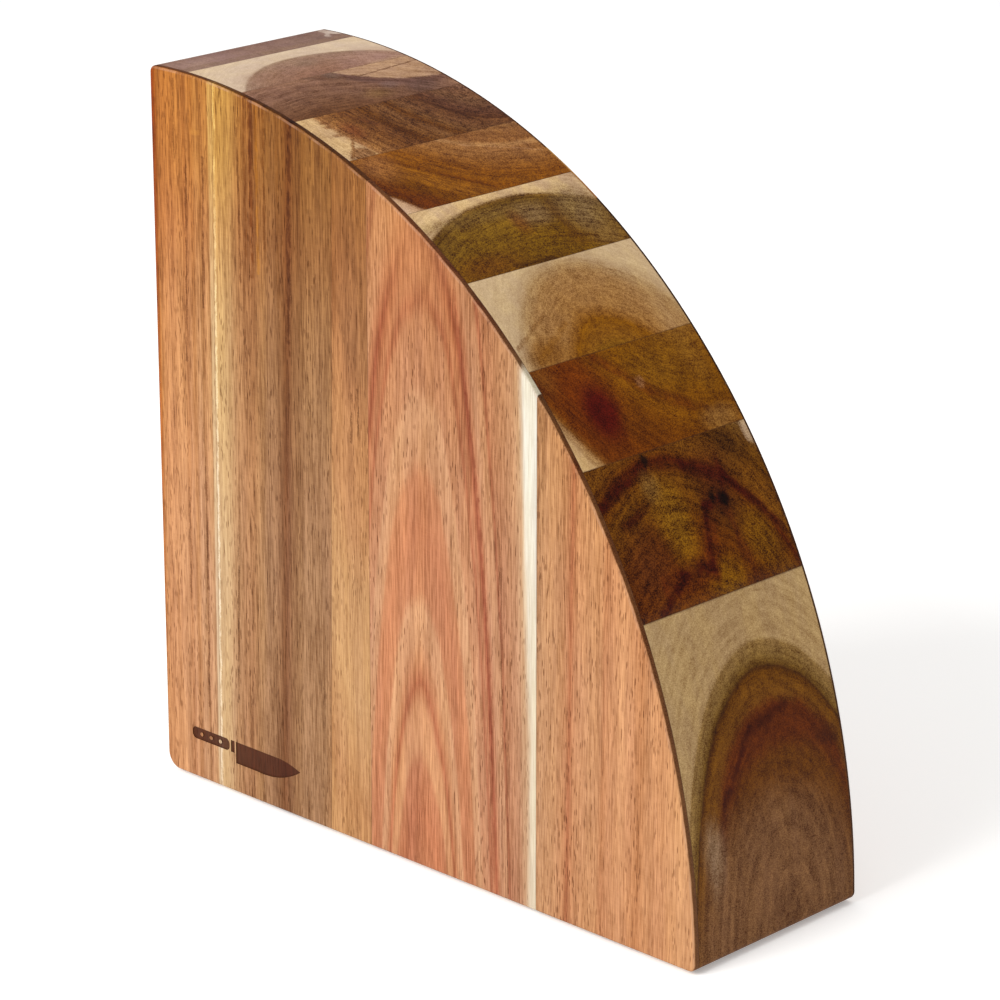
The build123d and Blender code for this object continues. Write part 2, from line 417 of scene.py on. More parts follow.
def make_glue_lines():
    """The thin dark lines where a stave is glued to its neighbours and to the skins."""
    g = new_group(
        "glue lines",
        {"Place": NOWHERE, "Left foot": 0.0, "Left crest": 0.0, "Right foot": 0.0, "Right crest": 0.0},
        {"Mask": "Float"},
    )
    x, y, z = g.parts(g.takes["Place"])
    rise = g.math("DIVIDE", z, BLOCK_HEIGHT)

    def away_from(foot, crest):
        slope = g.math("SUBTRACT", g.takes[crest], g.takes[foot])
        line = g.math("MULTIPLY_ADD", slope, rise, g.takes[foot])
        return g.math("ABSOLUTE", g.math("SUBTRACT", x, line))

    beside = g.math("MINIMUM", away_from("Left foot", "Left crest"), away_from("Right foot", "Right crest"))
    front = g.math("ABSOLUTE", g.math("SUBTRACT", y, CORE_FRONT))
    back = g.math("ABSOLUTE", g.math("SUBTRACT", y, CORE_BACK))
    nearest = g.math("MINIMUM", beside, g.math("MINIMUM", front, back))
    g.feed(g.gives["Mask"], g.ease(nearest, 0.25, 0.05))
    return g.tree


def make_sawn_rim():
    """Where a skin has been sawn across at the curved rim, and a painted highlight along the eased edge
    between it and the face.
    """
    g = new_group("sawn rim", {"Place": NOWHERE}, {"Mask": "Float", "Edge highlight": "Float"})
    x, y, z = g.parts(g.takes["Place"])
    along = g.math("DIVIDE", g.math("SUBTRACT", x, CURVE_CENTRE[0]), CURVE_REACH[0])
    up = g.math("DIVIDE", g.math("SUBTRACT", z, CURVE_CENTRE[1]), CURVE_REACH[1])
    reach = g.vector("LENGTH", g.join(along, up, 0.0))
    depth = g.math("SUBTRACT", HALF_THICKNESS, g.math("ABSOLUTE", y))
    at_rim = g.ease(reach, 0.9935, 0.9975)
    waver = g.math("MULTIPLY", g.noise(g.takes["Place"], (0.12, 0.12, 0.12)), 0.5)
    wavering_depth = g.math("SUBTRACT", depth, waver)
    g.feed(g.gives["Mask"], g.math("MULTIPLY", at_rim, g.ease(wavering_depth, 0.0, 0.35)))
    # Painted highlight: a patchy pale line along the eased edge where the rim meets the face
    near_edge = g.math("MULTIPLY", g.ease(reach, 0.9958, 0.9970), g.ease(wavering_depth, 0.20, 0.0))
    highlight_patches = g.ease(g.noise(g.takes["Place"], (0.09, 0.09, 0.09), detail=3.0), 0.42, 0.6, 0.15, 1.0)
    g.feed(g.gives["Edge highlight"], g.math("MULTIPLY", near_edge, highlight_patches))
    return g.tree


def make_crest_deepening():
    """Painted shade: the faces made darker and warmer towards the crest, standing in for the floor's bounce
    light that fades higher up. Gives how much of a tone is left at each height.
    """
    g = new_group("crest deepening", {"Place": NOWHERE}, {"Left": "Color"})
    height = g.parts(g.takes["Place"])[2]
    left = {95: (255, 255, 255), 125: (253, 249, 243), 155: (251, 246, 231), 185: (244, 233, 210),
            212: (236, 214, 176), 237: (230, 206, 149), 262: (227, 200, 134)}
    g.feed(g.gives["Left"], g.tones(height, left))
    return g.tree


def make_oiled_acacia():
    """Works grain marks, ring lines, mottling and glue lines into a wood's plain tone."""
    g = new_group(
        "oiled acacia",
        {"Tone": [0.5, 0.3, 0.2, 1.0], "Place": NOWHERE, "Lines": 0.5, "Glue": 0.0, "Seed": 0.0,
         "End grain": 0.0, "Marks": 0.8, "Rings": 0.2, "Pores": 0.6, "Mottle": 0.5},
        {"Colour": "Color", "Roughness": "Float", "Height": "Float"},
    )
    place = g.takes["Place"]
    made = g.use(MARKS, place=place, seed=g.takes["Seed"], end_grain=g.takes["End grain"])
    brightness = g.vector("DOT_PRODUCT", g.takes["Tone"], (0.3, 0.6, 0.1))
    plainness = g.ease(brightness, 0.12, 0.45, 1.0, 0.3)
    shade = g.math("MULTIPLY", g.math("MULTIPLY", made["Shade"], plainness), g.takes["Marks"])
    rings = g.math("MULTIPLY", g.math("SUBTRACT", g.takes["Lines"], 0.5), g.takes["Rings"])
    light = g.math("ADD", shade, g.math("MULTIPLY", rings, plainness))
    light = g.vector("ADD", g.vector("MULTIPLY", g.join(light, light, light), MARK_TINT), (1.0, 1.0, 1.0))
    light = g.vector("MAXIMUM", light, DEEPEST_MARK)
    marked = g.vector("MULTIPLY", g.vector("MULTIPLY", g.takes["Tone"], OILED), light)
    golden, dusky = g.vector("MULTIPLY", marked, GOLDEN), g.vector("MULTIPLY", marked, DUSKY)
    mottled = g.mix(g.takes["Mottle"], marked, g.mix(g.ease(made["Mottle"], 0.36, 0.64), golden, dusky))
    pores = g.math("MULTIPLY", made["Pores"], g.takes["Pores"])
    pores = g.math("MULTIPLY", pores, g.ease(brightness, 0.32, 0.5, 1.0, 0.08))
    pored = g.mix(pores, mottled, g.vector("MULTIPLY", mottled, IN_A_PORE))
    glued = g.mix(g.math("MULTIPLY", g.takes["Glue"], GLUE_STRENGTH), pored, tone(*GLUE_TONE))
    g.feed(g.gives["Colour"], glued)
    sanding = g.noise(place, (1.6, 1.6, 0.5))
    rough = g.math("MULTIPLY_ADD", shade, 0.12, 0.46)
    rough = g.math("MULTIPLY_ADD", sanding, 0.10, rough)
    g.feed(g.gives["Roughness"], g.math("MULTIPLY_ADD", pores, 0.25, rough))
    height = g.math("MULTIPLY", pores, PORE_RELIEF)
    height = g.math("MULTIPLY_ADD", shade, GRAIN_RELIEF, height)
    height = g.math("MULTIPLY_ADD", sanding, SANDING_RELIEF, height)
    g.feed(g.gives["Height"], g.math("MULTIPLY_ADD", g.takes["Glue"], GLUE_RELIEF, height))
    return g.tree


PLACE = make_block_place()
RINGS = make_growth_rings()
GRAIN = make_straight_grain()
MARKS = make_grain_marks()
SPOT = make_spot()
LINE = make_drawn_line()
GLUE = make_glue_lines()
RIM = make_sawn_rim()
PAINTED_CREST_SHADE = make_crest_deepening()
ACACIA = make_oiled_acacia()


# ---------------------------------------------------------------- woods

def new_material(name):
    """(material, its graph), with the graph's Principled shader as graph.shader."""
    material = bpy.data.materials.new(name)
    material.use_nodes = True
    graph = Graph(material.node_tree)
    graph.shader = material.node_tree.nodes["Principled BSDF"]
    return material, graph


def oil(g, after=(), **wood):
    """Finishes a wood: the shared acacia effect, anything that lies over it, then the shader's gloss."""
    acacia = g.use(ACACIA, **wood)
    colour = acacia["Colour"]
    for layer in after:
        colour = layer(g, wood["place"], colour)
    g.feed(g.shader.inputs["Base Color"], colour)
    g.feed(g.shader.inputs["Roughness"], acacia["Roughness"])
    g.relief(acacia["Height"], MM)
    g.shader.inputs["Specular IOR Level"].default_value = OIL_GLOSS


def glue_at(g, place, left, right):
    """The glue lines' mask, with left and right joints as (at the foot, at the crest)."""
    left_foot, left_crest = map(float, left)
    right_foot, right_crest = map(float, right)
    return g.use(GLUE, place=place, left_foot=left_foot, left_crest=left_crest,
                 right_foot=right_foot, right_crest=right_crest)["Mask"]


def lay(g, flat, colour, figure, unbroken=0.6):
    """Lays figures over a tone: spots ("spot", middle, reach, softness, tone, strength) and lines
    ("line", from, to, width, tone, strength), placed on the given flat."""
    for kind, first, second, size, shade, strength in figure:
        if kind == "spot":
            mask = g.use(SPOT, place=flat, middle=(*first, 0.0), reach=(*second, 1.0), soft=size)["Mask"]
        else:
            mask = g.use(LINE, place=flat, start=(*first, 0.0), end=(*second, 0.0), width=size,
                         unbroken=unbroken)["Mask"]
        colour = g.mix(g.math("MULTIPLY", mask, strength), colour, tone(*shade))
    return colour


def core_wood(number, joints, pith, rings, marks, ring_lines, mottle, pores, wander=1.0, figure=()):
    """One core stave's wood: tones by distance from its pith, with end grain on the rim and underside."""
    material, g = new_material(f"core stave {number} acacia")
    place = g.use(PLACE)["Place"]
    grown = g.use(RINGS, place=place, pith=(*pith, 0.0), wander=wander, seed=float(number))
    colour = lay(g, place, g.tones(grown["Radius"], rings), figure)
    left, right = joints
    glue = glue_at(g, place, (left, left), (right, right))
    sawn = g.ease(g.parts(place)[0], 0.6, 1.4)
    oil(g, tone=colour, place=place, lines=grown["Streaks"], glue=glue, seed=float(number), end_grain=sawn,
        marks=marks, rings=ring_lines, pores=pores, mottle=mottle)
    return material


def sawn_end(depth):
    """A skin's end grain at the curved rim drinks more oil and goes dark; its eased edge gets a paler painted
    highlight, as where the rounding catches light.
    """
    def layer(g, place, colour):
        rim = g.use(RIM, place=place)
        dark = g.vector("MULTIPLY", colour, (depth, depth * 0.78, depth * 0.6))
        sapwood = g.ease(g.vector("DOT_PRODUCT", colour, (0.0, 0.0, 1.0)), 0.16, 0.28)
        dark = g.mix(sapwood, dark, g.vector("MULTIPLY", colour, (0.88, 0.84, 0.76)))
        colour = g.mix(rim["Mask"], colour, dark)
        # Painted highlight along the eased edge, mixed in at 0.35
        return g.mix(g.math("MULTIPLY", rim["Edge highlight"], 0.35), colour, tone(172, 132, 106))
    return layer


def within(g, value, reach):
    """1 inside a reach, easing to 0 over the millimetre at each end of it."""
    start, end = reach
    return g.math("MULTIPLY", g.ease(value, start, start + 1.0), g.ease(value, end, end - 1.0))


def burn_mark(g, place, colour):
    """The floor and walls of the knife mark's recess, burnt dark."""
    x, y, z = g.parts(place)
    sunk = g.ease(y, -HALF_THICKNESS + 0.02, -HALF_THICKNESS + 0.12)
    mask = g.math("MULTIPLY", sunk, g.math("MULTIPLY", within(g, x, MARK_ACROSS), within(g, z, MARK_UP)))
    charred = g.mix(g.noise(place, (1.6, 1.6, 0.12), detail=3.0), tone(26, 10, 5), tone(82, 38, 20))
    return g.mix(g.math("MULTIPLY", mask, 0.94), colour, charred)


def skin_wood(side, number, grown, measure, tones, marks, pores, rim=0.32, figure=(), overlay=None,
              marked=False, deepening=1.0):
    """A skin stave's wood: tones by a measure of its growth, and figures as they lie on the large face."""
    material, g = new_material(f"{side} skin {number} acacia")
    first_seed, joints = SKINS[side]
    left, right = joints[number - 1:number + 1]
    seed = first_seed + number
    place = g.use(PLACE)["Place"]
    group, growth = grown
    grown = g.use(group, place=place, seed=seed, **growth)
    colour = g.tones(grown[measure], tones)
    if overlay:
        colour = overlay(g, place, colour)
    x, _, z = g.parts(place)
    colour = lay(g, g.join(x, z, 0.0), colour, figure, unbroken=0.3)
    # Painted shade: darker and warmer towards the crest, as less bounce light from the floor reaches the top
    painted_shade_tone = g.mix(deepening, (1.0, 1.0, 1.0, 1.0), g.use(PAINTED_CREST_SHADE, place=place)["Left"])
    colour = g.vector("MULTIPLY", colour, painted_shade_tone)
    if isinstance(pores, dict):
        pores = g.parts(g.tones(grown[measure], {mark: (share,) * 3 for mark, share in pores.items()}))[0]
    oil(g, tone=colour, place=place, lines=grown["Lines"], glue=glue_at(g, place, left, right), seed=seed,
        end_grain=g.use(RIM, place=place)["Mask"], marks=marks, rings=SKIN_RING_LINES, pores=pores,
        mottle=SKIN_MOTTLE, after=[sawn_end(rim), burn_mark] if marked else [sawn_end(rim)])
    return material


def straight_wood(side, number, lean, tones, marks=0.8, pores=0.75, **looks):
    """A straight-grained skin stave: tones by how far across it is."""
    grown = GRAIN, dict(lean=lean, wander=0.6)
    return skin_wood(side, number, grown, "Across", tones, marks, pores, **looks)


def flat_sawn_wood(side, number, pith, lean, rings, marks=0.7, pores=0.7, **looks):
    """A flat-sawn skin stave: its leaning pith draws nested arches on the face."""
    grown = RINGS, dict(pith=(*pith, 0.0), lean=(0.0, lean, 0.0), wander=1.0)
    return skin_wood(side, number, grown, "Radius", rings, marks, pores, **looks)


def core_stave_1():
    """Mauve-brown, duller towards the back, with a pale corner there."""
    rings = {110: (152, 115, 98), 122: (153, 118, 103), 134: (146, 110, 99), 150: (140, 104, 88),
             166: (137, 102, 88), 178: (131, 98, 84), 192: (136, 102, 86)}
    figure = [
        ("line", (15.5, -45), (15.5, 45), 3.2, (140, 106, 84), 0.8),
        ("spot", (6.0, 46), (7.6, 10.0), 0.10, (205, 181, 162), 0.95),
        ("line", (2.0, 42), (12.3, 33.0), 1.6, (205, 181, 162), 0.7),
        ("spot", (3.5, 0), (2.8, 60), 0.8, (126, 88, 74), 0.5),
    ]
    return dict(pith=(0, -150), rings=rings, marks=0.4, ring_lines=0.3, mottle=0.4, pores=0.15,
                figure=figure)


def core_stave_2():
    """Pinkish brown, with a broad band of sapwood down its left side."""
    rings = {33: (140, 96, 74), 39: (143, 99, 76), 45: (150, 109, 86), 51.4: (153, 116, 93),
             53.2: (158, 124, 98), 54.3: (211, 181, 151), 61: (213, 184, 154), 69: (217, 187, 152),
             80: (214, 181, 148)}
    figure = [
        ("spot", (42, 28), (8, 14), 0.8, (166, 124, 106), 0.75),
        ("spot", (33, 2), (3, 5), 0.8, (138, 108, 84), 0.5),
        ("spot", (38, -22), (6, 8), 0.8, (148, 104, 76), 0.4),
        ("spot", (47, 31), (3.5, 12), 0.4, (178, 138, 104), 0.5),
    ]
    return dict(pith=(79.8, 3.5), rings=rings, wander=0.45, marks=0.55, ring_lines=0.6, mottle=0.3,
                pores=0.4, figure=figure)


def core_stave_3():
    """Purplish brown in steep narrow rings, with a tan corner at the back that one thin dark line crosses."""
    rings = {53: (103, 61, 31), 58: (109, 68, 42), 66: (119, 79, 56), 74: (129, 88, 66), 79: (139, 97, 73),
             83: (152, 108, 78), 90: (150, 106, 78)}
    tan = (180, 138, 104)
    figure = [
        ("line", (44, -12), (58, 12), 1.6, (98, 68, 50), 0.7),
        ("spot", (15, 40), (53, 53), 0.05, (98, 62, 53), 0.7),
        ("spot", (15, 40), (48.0, 48.0), 0.02, tan, 1.0),
        ("spot", (52, -2), (14, 5), 0.5, (122, 82, 60), 0.9),
        ("spot", (47.5, 1), (3, 3), 0.7, (104, 78, 64), 0.7),
        ("spot", (62.5, 15), (2.6, 4), 0.6, (110, 79, 68), 0.7),
        ("spot", (67.5, 26), (4.5, 7), 0.6, (94, 64, 54), 0.7),
        ("spot", (66, 6), (3, 6), 0.8, (120, 84, 44), 0.5),
        ("line", (52.5, 9), (49.8, 40), 0.55, (112, 72, 44), 0.9),
        ("line", (57, 30), (63, 41), 2.0, (146, 104, 70), 0.5),
    ]
    return dict(pith=(125, -20), rings=rings, marks=0.6, ring_lines=1.1, mottle=0.4, pores=0.4,
                figure=figure)


def core_stave_4():
    """Dark umber in close rings about a near pith, turning golden and then to ragged sapwood at the front."""
    rings = {4: (121, 82, 58), 9: (112, 71, 45), 15: (104, 67, 43), 22: (96, 56, 35), 24.4: (92, 52, 29),
             25.4: (78, 40, 20), 26.6: (100, 58, 30), 33: (110, 68, 38), 36: (108, 67, 34),
             39.5: (98, 53, 14), 43: (115, 72, 38), 47: (111, 67, 31), 51: (98, 53, 12), 55: (108, 63, 29),
             61: (116, 68, 28), 66: (129, 80, 38), 70: (134, 85, 42), 72.8: (148, 98, 56),
             73.8: (190, 146, 98), 76: (208, 168, 119), 84: (196, 158, 114)}
    figure = [
        ("line", (86, -8), (98, -1), 1.4, (84, 40, 8), 0.7),
        ("line", (85, 1), (98, 4.5), 1.1, (84, 42, 10), 0.6),
        ("spot", (81, -15), (3, 2.5), 0.7, (86, 46, 18), 0.7),
        ("spot", (84, -24), (5, 3.5), 0.7, (112, 55, 26), 0.75),
        ("spot", (76.4, -30.5), (0.9, 1.8), 0.5, (118, 70, 34), 0.8),
        ("spot", (79.2, -31), (1.1, 2.4), 0.5, (124, 76, 38), 0.8),
        ("spot", (84.6, -31.5), (1.0, 2.2), 0.5, (124, 76, 38), 0.8),
        ("line", (88.5, -28), (91.5, -32), 0.8, (116, 68, 30), 0.8),
        ("line", (90.5, -30), (97.5, -37.5), 1.0, (112, 62, 22), 0.85),
        ("spot", (97, -31.5), (4.2, 5.0), 0.25, (132, 84, 42), 0.9),
        ("line", (73, -20), (84, -12), 1.6, (96, 50, 24), 0.6),
        ("line", (76, 16), (98, 30), 1.2, (70, 36, 18), 0.5),
    ]
    return dict(pith=(70, 42), rings=rings, wander=1.8, marks=1.1, ring_lines=1.3, mottle=0.7, pores=0.6,
                figure=figure)


def core_stave_5():
    """Reddish brown, golden in the middle and dark at the front right, with a sliver of sapwood."""
    rings = {53: (142, 96, 55), 58: (138, 87, 44), 62.5: (140, 88, 44), 64.4: (166, 116, 68),
             66: (148, 96, 50), 70: (143, 91, 44), 74: (138, 83, 30), 78: (128, 71, 10), 82: (130, 73, 8),
             84.5: (118, 62, 2), 86: (129, 73, 8), 91: (136, 80, 16), 94: (123, 69, 5), 97: (106, 56, 2),
             100: (108, 53, 2), 104: (102, 45, 2), 106.3: (106, 54, 6), 107.6: (190, 146, 108),
             112: (219, 179, 142)}
    figure = [
        ("line", (113, -12), (124.5, 5), 1.0, (98, 46, 4), 0.75),
        ("spot", (124, -28), (4, 6), 0.7, (104, 46, 6), 0.5),
        ("spot", (103, -32), (7, 7), 0.8, (152, 96, 52), 0.6),
        ("line", (103.5, 9), (114, 38), 0.6, (176, 126, 82), 0.55),
    ]
    return dict(pith=(45, 38), rings=rings, wander=1.2, marks=0.85, ring_lines=0.9, mottle=0.7, pores=0.5,
                figure=figure)


def core_stave_6():
    """Olive-brown with golden mottling, and sapwood beyond one crisp ring."""
    rings = {71: (96, 58, 3), 75: (112, 73, 6), 80: (108, 68, 4), 84: (113, 74, 8), 88: (112, 75, 16),
             92: (108, 73, 20), 94.8: (98, 64, 10), 95.9: (118, 80, 30), 97.2: (208, 170, 121),
             101: (214, 177, 130), 106: (198, 160, 119)}
    figure = [
        ("spot", (133.5, -14), (2.6, 28), 0.6, (116, 84, 38), 0.6),
        ("spot", (142, -18), (6, 17), 0.7, (122, 84, 14), 0.6),
        ("spot", (151, -26), (4, 14), 0.8, (108, 60, 10), 0.7),
        ("spot", (137.5, 9), (4, 8), 0.7, (130, 98, 58), 0.75),
        ("spot", (146, 5), (4, 8), 0.8, (118, 80, 8), 0.6),
        ("spot", (139, 1), (4, 3), 0.8, (104, 50, 10), 0.6),
        ("spot", (142, 19.5), (9, 2.4), 0.7, (90, 50, 2), 0.7),
        ("spot", (139, 31), (9, 9), 0.7, (132, 102, 62), 0.7),
        ("spot", (151, 33), (4, 7), 0.8, (128, 92, 44), 0.6),
        ("line", (146, 8), (150, 28), 0.9, (86, 48, 4), 0.7),
        ("line", (149.5, 16), (153.5, 32), 0.9, (86, 48, 6), 0.6),
        ("line", (152.4, -16), (153.4, 4), 1.0, (64, 30, 4), 0.6),
    ]
    return dict(pith=(225, -0.5), rings=rings, wander=0.7, marks=1.0, ring_lines=1.1, mottle=0.9, pores=0.7,
                figure=figure)


def core_stave_7():
    """Tan, golden-dark towards its right joint, and sapwood in both left corners."""
    rings = {16: (126, 80, 8), 20: (138, 85, 16), 25: (134, 79, 4), 27: (146, 93, 34), 29.5: (160, 110, 56),
             34: (165, 116, 63), 39: (167, 121, 70), 42: (177, 137, 89), 45: (197, 162, 119),
             48: (210, 176, 131), 60: (212, 178, 133)}
    figure = [
        ("line", (168.5, -18), (175.5, -38), 1.0, (128, 80, 32), 0.6),
        ("line", (172.5, -12), (180, -32), 1.6, (134, 80, 12), 0.5),
        ("spot", (179, -28), (4, 9), 0.7, (128, 74, 4), 0.7),
        ("spot", (176, 33), (9, 5), 0.8, (184, 142, 92), 0.5),
        ("line", (158, 2), (162, 24), 0.7, (152, 108, 60), 0.4),
    ]
    return dict(pith=(198, 2.5), rings=rings, wander=1.8, marks=0.7, ring_lines=0.8, mottle=0.35, pores=0.4,
                figure=figure)


def core_stave_8():
    """Golden-brown, with a deep red spot, a diagonal dark line and a sliver of sapwood."""
    rings = {51: (136, 88, 30), 56: (130, 79, 8), 60: (122, 71, 2), 66: (124, 73, 2), 70: (120, 68, 2),
             76: (125, 71, 4), 80: (118, 62, 2), 86: (112, 55, 2), 93: (108, 50, 2), 101: (109, 52, 4),
             103: (124, 72, 22), 105: (176, 132, 82), 107: (202, 160, 109), 110: (206, 166, 114)}
    figure = [
        ("spot", (192, -22), (12, 11), 0.6, (112, 44, 2), 0.7),
        ("spot", (195.5, -18.5), (6.2, 7.4), 0.5, (80, 10, 4), 0.95),
        ("line", (183, -10), (194, 6), 2.6, (102, 40, 2), 0.7),
        ("line", (194, 6), (200, 20), 2.8, (100, 44, 2), 0.75),
        ("line", (200, 20), (202.5, 28), 1.8, (100, 46, 2), 0.5),
        ("spot", (189, 17), (5, 14), 0.8, (132, 84, 14), 0.5),
        ("spot", (200, -6), (3, 5), 0.8, (112, 56, 4), 0.5),
        ("spot", (191.5, 4), (1.1, 1.6), 0.6, (150, 98, 56), 0.8),
        ("spot", (204.5, 31), (2.6, 8), 0.6, (146, 100, 46), 0.7),
        ("spot", (187, 33), (8, 5), 0.8, (138, 90, 26), 0.5),
        ("spot", (184, -36), (4, 5), 0.8, (112, 66, 22), 0.5),
        ("line", (185, -39), (203, -25), 1.5, (88, 36, 4), 0.65),
        ("line", (183, -34), (195, -28), 1.0, (94, 44, 6), 0.5),
    ]
    return dict(pith=(131, 43), rings=rings, wander=1.2, marks=0.85, ring_lines=0.8, mottle=0.7, pores=0.5,
                figure=figure)


def core_stave_9():
    """Very dark olive-brown, with branching dark lines, black knots and a pale fleck in its back corner."""
    rings = {46: (108, 54, 2), 55: (92, 41, 2), 60: (97, 47, 2), 63: (103, 56, 4), 67.5: (104, 58, 6),
             70: (96, 47, 2), 71.5: (80, 26, 2), 73.2: (100, 52, 4), 75.5: (110, 63, 10), 78: (104, 58, 8),
             81: (97, 54, 4), 84: (106, 62, 8), 87: (124, 82, 30), 90: (160, 124, 78)}
    dark, black = (62, 12, 3), (20, 5, 2)
    figure = [
        ("spot", (226, -29), (6, 10), 0.8, (90, 42, 12), 0.7),
        ("spot", (221, -9), (6, 6), 0.8, (134, 88, 8), 0.7),
        ("spot", (231.5, 5), (3, 8), 0.8, (134, 86, 6), 0.7),
        ("spot", (227, 26), (4, 6), 0.8, (124, 78, 6), 0.6),
        ("spot", (209, 30), (4, 9), 0.8, (78, 44, 12), 0.6),
        ("line", (230, -24), (229, 0), 3.6, (92, 30, 4), 0.55),
        ("line", (229, 0), (219, 8), 4.0, (92, 30, 4), 0.55),
        ("spot", (219, 14), (4.6, 7), 0.8, (62, 18, 6), 0.7),
        ("spot", (213, 15), (3.6, 8), 0.8, (72, 24, 6), 0.6),
        ("line", (219, 15), (231, 18), 2.6, (84, 32, 6), 0.5),
        ("line", (234, -31), (229, -15), 1.6, dark, 0.9),
        ("line", (229, -15), (229, 0), 1.5, dark, 0.9),
        ("line", (229, 0), (219.5, 6), 1.7, dark, 0.85),
        ("line", (219.5, 6), (219, 17), 1.7, dark, 0.95),
        ("line", (219, 17), (212, 20), 1.8, dark, 0.6),
        ("line", (218.5, -33), (215.5, -16), 1.5, dark, 0.8),
        ("line", (214, -39), (209, -13), 1.6, dark, 0.95),
        ("line", (209.5, -10), (211, 4), 1.6, dark, 0.6),
        ("line", (211, 4), (215, 20), 2.6, dark, 0.8),
        ("line", (215, 20), (227, 38), 1.8, dark, 0.85),
        ("line", (224, 16), (233, 14), 1.6, dark, 0.4),
        ("spot", (207.8, -11.5), (1.3, 1.7), 0.6, black, 0.95),
        ("spot", (219.2, 16), (1.6, 2.3), 0.6, black, 0.95),
        ("spot", (218.5, 11), (1.0, 1.2), 0.6, black, 0.8),
        ("spot", (218, -11), (5, 7), 0.8, (122, 78, 14), 0.6),
        ("spot", (213, -14), (2.5, 3.5), 0.8, (136, 98, 44), 0.5),
        ("spot", (208, 41), (3.2, 3.4), 0.35, (200, 166, 126), 0.9),
    ]
    return dict(pith=(280, -12), rings=rings, wander=1.1, marks=1.2, ring_lines=1.2, mottle=0.9, pores=0.6,
                figure=figure)


def core_stave_10():
    """Sapwood, then a run of dark red-brown rings and stippled mauve-brown at the toe."""
    rings = {62: (112, 72, 34), 72: (112, 65, 20), 77.6: (114, 67, 12), 78.5: (106, 60, 6),
             79.0: (76, 40, 8), 79.5: (110, 74, 24), 80.6: (134, 98, 48), 82.0: (144, 107, 58),
             82.6: (182, 145, 96), 98: (190, 154, 106)}
    edge = (62, 16, 4)
    figure = [
        ("spot", (258.5, 8), (11.2, 34), 0.07, (94, 36, 4), 0.9),
        ("line", (254.6, -22), (249.4, -4), 0.8, edge, 0.8),
        ("line", (249.4, -4), (248.0, 16), 0.8, edge, 0.6),
        ("spot", (263.0, 8), (11.6, 38), 0.10, (102, 56, 8), 0.85),
        ("spot", (268.5, 2), (13.6, 52), 0.14, (128, 86, 52), 0.85),
        ("line", (251.8, 28), (252.4, 41), 1.4, (70, 30, 8), 0.6),
        ("spot", (256.6, -29), (1.4, 4.0), 0.9, (176, 150, 122), 0.35),
    ]
    return dict(pith=(322.7, 6.5), rings=rings, wander=0.35, marks=0.75, ring_lines=0.9, mottle=0.45,
                pores=0.6, figure=figure)


def core_woods():
    """The ten core staves' woods, from the square corner to the toe."""
    staves = (core_stave_1, core_stave_2, core_stave_3, core_stave_4, core_stave_5,
              core_stave_6, core_stave_7, core_stave_8, core_stave_9, core_stave_10)
    return [core_wood(number, CORE_JOINTS[number - 1:number + 1], **stave())
            for number, stave in enumerate(staves, 1)]


def front_skin_1():
    """Orange-brown, with dark streaks and a pale one beside the joint."""
    tones = {-1.5: (140, 60, 20), 0.3: (158, 96, 48), 1.4: (174, 118, 74), 3: (180, 123, 80),
             6: (185, 129, 87), 8.5: (178, 123, 82), 10: (183, 129, 88), 13: (181, 128, 87),
             15: (171, 116, 75), 16.5: (183, 130, 90), 18.5: (170, 117, 75), 19.5: (171, 119, 78),
             21: (183, 134, 96), 22.7: (172, 124, 86), 23.6: (156, 108, 70), 24.8: (178, 128, 90),
             26.5: (180, 132, 92), 27.6: (166, 121, 82), 28.4: (196, 164, 128), 30: (196, 164, 128)}
    streak = (104, 58, 30)
    figure = [
        ("line", (15.3, 72), (15.6, 112), 0.7, streak, 0.6),
        ("line", (23.6, 30), (24.6, 74), 0.7, streak, 0.75),
        ("line", (24.6, 76), (24.8, 122), 1.0, streak, 0.75),
        ("line", (25.6, 182), (26.8, 236), 0.9, streak, 0.7),
        ("line", (16.2, 160), (17.9, 232), 0.7, streak, 0.65),
        ("line", (11.8, 232), (12.2, 262), 0.6, streak, 0.6),
        ("line", (8.0, 120), (8.6, 160), 0.5, streak, 0.3),
        ("spot", (23.2, 244.5), (2.0, 1.0), 0.6, (212, 160, 104), 0.45),
    ]
    return straight_wood("front", 1, 0.009, tones, marked=True, figure=figure)


def front_skin_2():
    """Pale sapwood down its left side, then brown heartwood with one dark purple line."""
    tones = {24: (188, 153, 110), 31: (187, 151, 108), 33: (184, 147, 105), 34.5: (182, 144, 104),
             36: (171, 130, 92), 38.4: (160, 116, 79), 42: (157, 111, 75), 46: (147, 101, 66),
             51: (155, 112, 74), 54: (145, 104, 72), 58: (140, 99, 67), 60.5: (127, 85, 54),
             62.4: (111, 68, 39), 64: (119, 76, 48), 66.5: (132, 91, 60), 70: (133, 93, 61),
             73: (144, 104, 72), 79: (145, 105, 73), 84: (142, 102, 69), 87: (150, 106, 70)}
    streak = (78, 42, 20)
    figure = [
        ("line", (39.4, 36), (41.6, 104), 0.6, streak, 0.5),
        ("line", (58.8, 70), (59.6, 92), 0.5, streak, 0.5),
        ("line", (66.8, 120), (69.0, 178), 1.1, (92, 50, 24), 0.5),
        ("line", (69.0, 178), (71.6, 262), 1.5, (70, 32, 8), 0.8),
        ("line", (51.2, 198), (51.4, 262), 1.7, (104, 52, 10), 0.8),
        ("line", (48.2, 205), (48.4, 262), 1.0, (122, 70, 20), 0.6),
        ("line", (54.3, 200), (54.3, 262), 1.1, (184, 128, 48), 0.5),
        ("line", (57.8, 205), (58.0, 262), 1.2, (108, 60, 18), 0.65),
        ("line", (45.2, 195), (44.6, 250), 0.9, (96, 50, 18), 0.6),
        ("line", (64.0, 190), (64.8, 262), 1.4, (112, 68, 28), 0.45),
        ("line", (29.5, -2), (32.9, 264), 0.8, (226, 202, 168), 0.9),
        ("line", (84.0, 30), (85.6, 62), 0.5, streak, 0.4),
    ]
    return straight_wood("front", 2, 0.030, tones, marked=True, figure=figure, pores=0.85)


